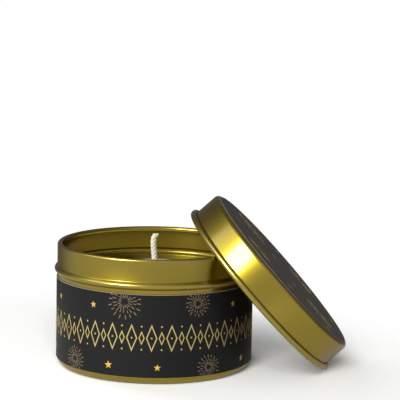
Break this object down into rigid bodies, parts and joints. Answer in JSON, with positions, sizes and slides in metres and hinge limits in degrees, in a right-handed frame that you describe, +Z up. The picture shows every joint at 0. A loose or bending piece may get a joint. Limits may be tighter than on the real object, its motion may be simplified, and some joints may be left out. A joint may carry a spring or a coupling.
{
  "type": "candle tin",
  "caption": "Round tin with a rolled rim, a bead and a wrapped label, holding poured wax and a wick. Its shallow lid with a curled edge is off and leans on the rim.",
  "frame": {"origin": "middle of the footprint of the tin and its leaning lid, on the surface they stand on", "axes": "+Z up, +X from the tin towards the leaning lid, +Y away from the side that is usually looked at"},
  "size_m": [0.1148, 0.0808, 0.0663],
  "materials": {
    "gold_tinplate": "satin gold lacquer",
    "label_paper": "matt black print",
    "sticker_paper": "matt white",
    "candle_wax": "soft satin wax",
    "wick_cotton": "waxed cotton braid",
    "tab_steel": "plain zinc-coated steel",
    "sticker_foam": "white foam"
  },
  "bodies": {
    "tin": {"tin_body": "gold_tinplate", "body_label": "label_paper", "base_label": "sticker_paper", "wax_fill": "candle_wax", "wick": "wick_cotton", "wick_sustainer": "tab_steel", "wick_sticker": "sticker_foam"},
    "lid": {"lid_shell": "gold_tinplate", "lid_label": "label_paper"}
  },
  "joints": [
    {"name": "lid_lift", "type": "slide", "parent": "tin", "child": "lid", "axis": [0.7396, 0, 0.673], "range_m": [0, 0.08]}
  ]
}
